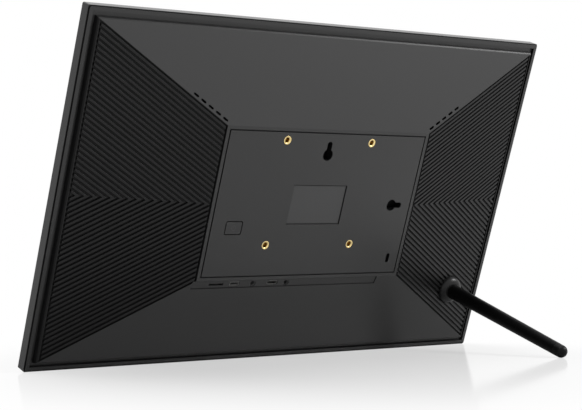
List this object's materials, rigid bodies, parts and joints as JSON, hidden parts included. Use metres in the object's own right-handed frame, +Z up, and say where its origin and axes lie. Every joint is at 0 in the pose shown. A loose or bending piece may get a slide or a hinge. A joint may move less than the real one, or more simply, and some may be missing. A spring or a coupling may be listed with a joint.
{
  "type": "digital photo frame",
  "caption": "Widescreen digital photo frame with a ribbed, faceted rear housing, standing on its lower edge and a screw-in rod leg.",
  "frame": {"origin": "middle of the standing frame's footprint, at the height of the surface it stands on", "axes": "+Z up, +X across the frame to the left as seen from behind, +Y out of the back towards the leg's foot"},
  "size_m": [0.395, 0.1518, 0.2328],
  "materials": {
    "frame_plastic": "fine satin moulding",
    "cover_glass": "polished",
    "foam": "matt foam",
    "lcd_cell": "polished",
    "film": "frosted",
    "acrylic": "polished",
    "led_board": "white solder mask",
    "reflector": "matt white",
    "tray_steel": "galvanised sheet",
    "screw_steel": "zinc plated",
    "circuit_board": "green solder mask",
    "flex_cable": "polyimide film",
    "chip": "moulded epoxy",
    "thermal_pad": "soft silicone",
    "heat_sink": "anodised",
    "shield_metal": "tin plated",
    "antenna_film": "copper on film",
    "black_wire": "smooth jacket",
    "switch_body": "moulded",
    "switch_plunger": "moulded",
    "socket_metal": "nickel plated",
    "socket_plastic": "moulded",
    "bezel_plastic": "satin",
    "speaker_plastic": "moulded",
    "speaker_wire": "smooth jacket",
    "housing_plastic": "fine satin moulding",
    "brass": "machined",
    "button_plastic": "satin",
    "collar_plastic": "semi-gloss",
    "rod_paint": "satin black",
    "stud_steel": "zinc plated",
    "foot_rubber": "matt"
  },
  "bodies": {
    "frame": {"front_frame": "frame_plastic", "cover_glass": "cover_glass", "panel_gasket": "foam", "lcd_cell": "lcd_cell", "optical_films": "film", "light_guide": "acrylic", "led_strip": "led_board", "reflector_sheet": "reflector", "lcd_back_tray": "tray_steel", "panel_screws": "screw_steel", "timing_board": "circuit_board", "display_cable": "flex_cable", "main_board": "circuit_board", "board_screws": "screw_steel", "processor": "chip", "thermal_pad": "thermal_pad", "heat_sink": "heat_sink", "memory_chips": "chip", "wifi_module": "shield_metal", "wifi_antenna": "antenna_film", "antenna_cable": "black_wire", "tact_switch": "switch_body", "port_board": "circuit_board", "port_screws": "screw_steel", "port_cable": "flex_cable", "card_slot": "socket_metal", "micro_usb_socket": "socket_metal", "audio_jack": "socket_plastic", "usb_c_socket": "socket_metal", "dc_jack": "socket_plastic", "port_bezel": "bezel_plastic", "speaker_right": "speaker_plastic", "speaker_left": "speaker_plastic", "speaker_gaskets": "foam", "speaker_wires": "speaker_wire", "back_cover": "housing_plastic", "mount_inserts": "brass", "leg_collar": "collar_plastic", "leg_nut": "brass"},
    "button": {"power_button": "button_plastic"},
    "plunger": {"switch_plunger": "switch_plunger"},
    "leg": {"leg_rod": "rod_paint", "leg_stud": "stud_steel", "leg_foot": "foot_rubber"}
  },
  "joints": [
    {"name": "button_press", "type": "slide", "parent": "frame", "child": "button", "axis": [0, -0.9444, 0.3289], "range_m": [0, 0.0005], "stiffness_N_per_m": 1500},
    {"name": "switch_press", "type": "slide", "parent": "frame", "child": "plunger", "axis": [0, -0.9444, 0.3289], "range_m": [0, 0.0005]},
    {"name": "leg_unscrew", "type": "slide", "parent": "frame", "child": "leg", "axis": [0, 0.9444, -0.3289], "range_m": [0, 0.012]}
  ],
  "couplings": [
    {"joint": "switch_press", "follows": "button_press", "ratio": 1}
  ]
}
